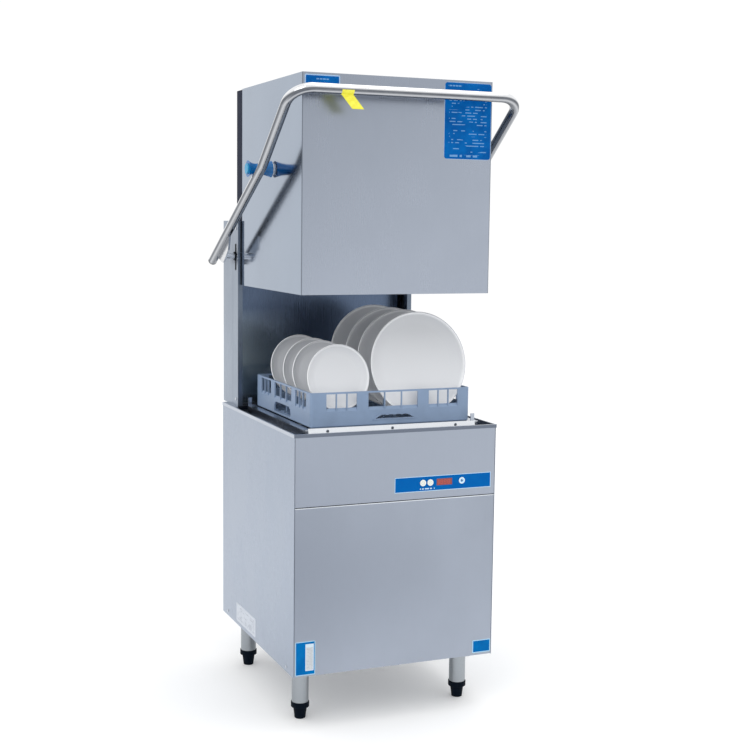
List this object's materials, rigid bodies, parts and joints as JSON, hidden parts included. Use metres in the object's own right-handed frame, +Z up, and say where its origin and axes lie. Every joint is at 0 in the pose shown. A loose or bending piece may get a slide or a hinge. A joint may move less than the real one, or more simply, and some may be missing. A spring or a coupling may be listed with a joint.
{
  "type": "commercial dishwasher",
  "caption": "Hood-type commercial dishwasher: stainless cabinet on legs, sliding hood raised by a U-shaped handle, wash chamber with a dish rack between rear columns.",
  "frame": {"origin": "on the floor under the centre of the bounding box, feet standing on z = 0", "axes": "+Z up, -Y towards the operator (control side), +X to the operator's right"},
  "size_m": [0.742, 0.8183, 1.8544],
  "materials": {
    "cabinet_steel": "brushed stainless, cool grey",
    "deck_steel": "satin stainless",
    "tank_steel": "pressed stainless",
    "hood_steel": "finely brushed, sides nearly mirror bright",
    "handle_steel": "polished stainless tube",
    "inner_steel": "mill finish stainless",
    "spray_steel": "satin stainless",
    "spring_steel": "spring wire",
    "screw_steel": "bright screws",
    "guide_dark": "dark navy, satin",
    "black_plastic": "moulded black",
    "roller_blue": "glossy blue",
    "white_plastic": "glossy white",
    "overlay_blue": "printed blue film with a pale border",
    "display_red": "red display window",
    "label_blue": "printed stickers",
    "tag_yellow": "yellow tag",
    "rack_plastic": "grey-blue moulding",
    "dish_ceramic": "white glaze",
    "pump_cast": "cast",
    "motor_paint": "dark enamel",
    "rotor_iron": "machined",
    "hose_rubber": "black hose",
    "drain_plastic": "grey drain pipe",
    "element_steel": "sheathed heater rod",
    "valve_brass": "valve body",
    "box_paint": "light grey",
    "board_green": "circuit board"
  },
  "bodies": {
    "base": {"base_frame": "inner_steel", "side_panels": "cabinet_steel", "front_upper_panel": "cabinet_steel", "front_lower_panel": "cabinet_steel", "rear_panel": "cabinet_steel", "leg_tubes": "handle_steel", "foot_collars": "black_plastic", "deck_rim": "deck_steel", "wash_tank": "tank_steel", "rack_rails": "deck_steel", "fasteners": "screw_steel", "filter_trays": "spray_steel", "sump_strainer": "spray_steel", "overflow_standpipe": "spray_steel", "lower_spindle": "spray_steel", "riser_manifold": "spray_steel", "pump_casing": "pump_cast", "pump_motor": "motor_paint", "wash_hoses": "hose_rubber", "rinse_boiler": "inner_steel", "heating_elements": "element_steel", "solenoid_valve": "valve_brass", "drain_outlet": "drain_plastic", "cable_gland": "black_plastic", "electrical_box": "box_paint", "control_board": "board_green", "control_overlay": "overlay_blue", "display_window": "display_red", "base_labels": "label_blue", "columns": "cabinet_steel", "chamber_back": "tank_steel", "rear_cover": "cabinet_steel", "column_bearings": "black_plastic", "counter_springs": "spring_steel"},
    "hood": {"hood_shell": "hood_steel", "hood_front_panel": "hood_steel", "hood_guides": "guide_dark", "roller_pins": "handle_steel", "roller_retainers": "white_plastic", "hood_labels": "label_blue"},
    "roller_left_body": {"roller_left": "roller_blue"},
    "roller_right_body": {"roller_right": "roller_blue"},
    "handle": {"handle_tube": "handle_steel", "handle_end_caps": "black_plastic", "pivot_shafts": "handle_steel", "handle_tag": "tag_yellow"},
    "rack_load": {"rack": "rack_plastic", "plates": "dish_ceramic"},
    "lower_wash": {"lower_wash_arm": "spray_steel"},
    "lower_rinse": {"lower_rinse_arm": "spray_steel"},
    "upper_wash": {"upper_wash_arm": "spray_steel"},
    "upper_rinse": {"upper_rinse_arm": "spray_steel"},
    "pump_rotor": {"pump_impeller": "rotor_iron"},
    "key_left": {"button_left": "white_plastic"},
    "key_right": {"button_right": "white_plastic"},
    "key_start": {"button_start": "white_plastic"},
    "foot_front_left": {"foot_fl": "black_plastic"},
    "foot_front_right": {"foot_fr": "black_plastic"},
    "foot_back_left": {"foot_bl": "black_plastic"},
    "foot_back_right": {"foot_br": "black_plastic"}
  },
  "joints": [
    {"name": "hood_slide", "type": "slide", "parent": "base", "child": "hood", "axis": [0, 0, 1], "range_m": [-0.39, 0]},
    {"name": "handle_pivot", "type": "hinge", "parent": "base", "child": "handle", "pos_m": [0, 0.28, 1.337], "axis": [1, 0, 0], "range_deg": [0, 58.7], "deforming": ["counter_springs"]},
    {"name": "roller_left_spin", "type": "hinge", "parent": "hood", "child": "roller_left_body", "pos_m": [-0.331, -0.069, 1.599], "axis": [1, 0, 0], "continuous": true},
    {"name": "roller_right_spin", "type": "hinge", "parent": "hood", "child": "roller_right_body", "pos_m": [0.331, -0.069, 1.599], "axis": [1, 0, 0], "continuous": true},
    {"name": "rack_slide", "type": "slide", "parent": "base", "child": "rack_load", "axis": [1, 0, 0], "range_m": [0, 0.55]},
    {"name": "lower_wash_spin", "type": "hinge", "parent": "base", "child": "lower_wash", "pos_m": [0, -0.044, 0.811], "axis": [0, 0, 1], "continuous": true},
    {"name": "lower_rinse_spin", "type": "hinge", "parent": "base", "child": "lower_rinse", "pos_m": [0, -0.044, 0.836], "axis": [0, 0, 1], "continuous": true},
    {"name": "upper_wash_spin", "type": "hinge", "parent": "base", "child": "upper_wash", "pos_m": [0, -0.044, 1.39], "axis": [0, 0, 1], "continuous": true},
    {"name": "upper_rinse_spin", "type": "hinge", "parent": "base", "child": "upper_rinse", "pos_m": [0, -0.044, 1.364], "axis": [0, 0, 1], "continuous": true},
    {"name": "pump_spin", "type": "hinge", "parent": "base", "child": "pump_rotor", "pos_m": [-0.12, -0.045, 0.3], "axis": [1, 0, 0], "continuous": true},
    {"name": "key_left_press", "type": "slide", "parent": "base", "child": "key_left", "axis": [0, 1, 0], "range_m": [0, 0.0012], "stiffness_N_per_m": 300, "springref_m": -0.003},
    {"name": "key_right_press", "type": "slide", "parent": "base", "child": "key_right", "axis": [0, 1, 0], "range_m": [0, 0.0012], "stiffness_N_per_m": 300, "springref_m": -0.003},
    {"name": "key_start_press", "type": "slide", "parent": "base", "child": "key_start", "axis": [0, 1, 0], "range_m": [0, 0.0012], "stiffness_N_per_m": 300, "springref_m": -0.003},
    {"name": "foot_front_left_level", "type": "slide", "parent": "base", "child": "foot_front_left", "axis": [0, 0, 1], "range_m": [-0.03, 0]},
    {"name": "foot_front_right_level", "type": "slide", "parent": "base", "child": "foot_front_right", "axis": [0, 0, 1], "range_m": [-0.03, 0]},
    {"name": "foot_back_left_level", "type": "slide", "parent": "base", "child": "foot_back_left", "axis": [0, 0, 1], "range_m": [-0.03, 0]},
    {"name": "foot_back_right_level", "type": "slide", "parent": "base", "child": "foot_back_right", "axis": [0, 0, 1], "range_m": [-0.03, 0]}
  ],
  "couplings": [
    {"joint": "handle_pivot", "follows": "hood_slide", "rad_per_m": -2.6253}
  ]
}
